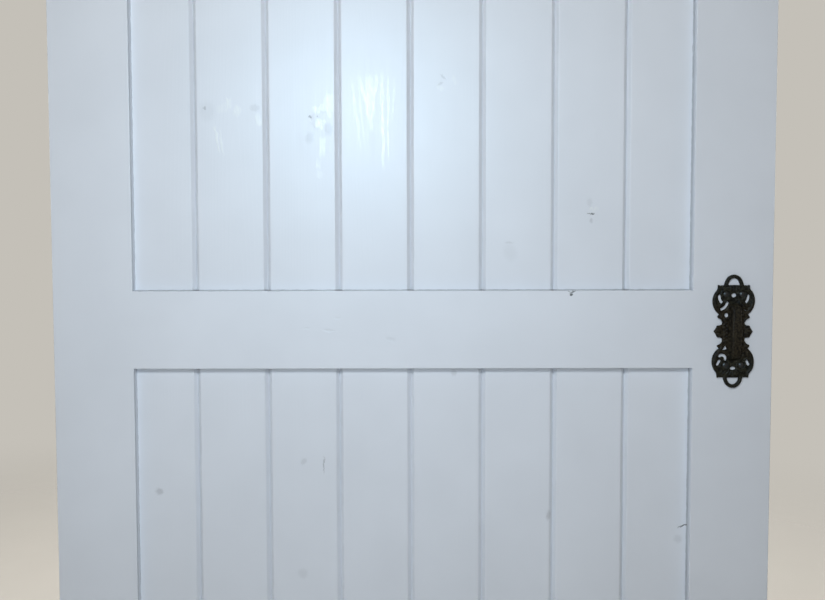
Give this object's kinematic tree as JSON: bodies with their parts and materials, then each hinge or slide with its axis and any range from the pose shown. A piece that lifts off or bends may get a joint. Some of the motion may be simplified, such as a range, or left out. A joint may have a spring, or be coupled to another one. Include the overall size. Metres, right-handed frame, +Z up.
{
  "type": "barn door",
  "caption": "White framed and V-boarded sliding barn door with a pierced iron pull handle, hung on grooved wheels from a flat steel wall track with end stops and a floor guide.",
  "frame": {"origin": "On the floor, midway between the floor guide's two screw holes, under the middle of the track.", "axes": "+X to the right along the wall, +Y from the room into the wall, +Z up. The leaf's face is towards -Y."},
  "size_m": [2.134, 0.1295, 2.2662],
  "materials": {
    "painted_frame": "semi-gloss white paint",
    "painted_boards": "semi-gloss white paint over knotty pine",
    "handle_iron": "dark waxed iron, worn brown on the grip",
    "handle_screw_iron": "dark blackened screw heads",
    "hanger_steel": "matt black powder coat",
    "track_steel": "matt black powder coat",
    "guide_steel": "matt black powder coat",
    "wheel_steel": "black, polished where it runs",
    "bearing_steel": "bright steel",
    "fastener_steel": "black oxide",
    "jump_disc_nylon": "black nylon",
    "bumper_rubber": "black rubber"
  },
  "bodies": {
    "track": {"track_rail": "track_steel", "track_spacer_1": "track_steel", "track_spacer_2": "track_steel", "track_spacer_3": "track_steel", "track_spacer_4": "track_steel", "track_spacer_5": "track_steel", "track_spacer_6": "track_steel", "lag_screws": "fastener_steel", "lag_washers": "fastener_steel", "left_stop": "track_steel", "right_stop": "track_steel", "left_bumper": "bumper_rubber", "right_bumper": "bumper_rubber", "stop_grub_screws": "fastener_steel", "floor_guide": "guide_steel"},
    "door": {"left_stile": "painted_frame", "right_stile": "painted_frame", "top_rail": "painted_frame", "lock_rail": "painted_frame", "bottom_rail": "painted_frame", "upper_board_1": "painted_boards", "upper_board_2": "painted_boards", "upper_board_3": "painted_boards", "upper_board_4": "painted_boards", "upper_board_5": "painted_boards", "upper_board_6": "painted_boards", "upper_board_7": "painted_boards", "upper_board_8": "painted_boards", "lower_board_1": "painted_boards", "lower_board_2": "painted_boards", "lower_board_3": "painted_boards", "lower_board_4": "painted_boards", "lower_board_5": "painted_boards", "lower_board_6": "painted_boards", "lower_board_7": "painted_boards", "lower_board_8": "painted_boards", "pull_handle": "handle_iron", "handle_screws": "handle_screw_iron", "left_hanger_strap": "hanger_steel", "right_hanger_strap": "hanger_steel", "hanger_bolts": "fastener_steel", "hanger_washers": "fastener_steel", "hanger_nuts": "fastener_steel", "left_axle_bolt": "fastener_steel", "right_axle_bolt": "fastener_steel", "left_axle_spacer": "fastener_steel", "right_axle_spacer": "fastener_steel", "left_axle_nut": "fastener_steel", "right_axle_nut": "fastener_steel", "left_jump_disc": "jump_disc_nylon", "right_jump_disc": "jump_disc_nylon", "disc_screws": "fastener_steel"},
    "wheel_left": {"left_wheel": "wheel_steel", "left_wheel_bearing": "bearing_steel"},
    "wheel_right": {"right_wheel": "wheel_steel", "right_wheel_bearing": "bearing_steel"}
  },
  "joints": [
    {"name": "door_slide", "type": "slide", "parent": "track", "child": "door", "axis": [1, 0, 0], "range_m": [-1, 0]},
    {"name": "wheel_left_roll", "type": "hinge", "parent": "door", "child": "wheel_left", "pos_m": [0.02575, -0.008, 2.2282], "axis": [0, 1, 0], "continuous": true},
    {"name": "wheel_right_roll", "type": "hinge", "parent": "door", "child": "wheel_right", "pos_m": [0.97425, -0.008, 2.2282], "axis": [0, 1, 0], "continuous": true}
  ],
  "couplings": [
    {"joint": "wheel_left_roll", "follows": "door_slide", "rad_per_m": 33.333},
    {"joint": "wheel_right_roll", "follows": "door_slide", "rad_per_m": 33.333}
  ]
}
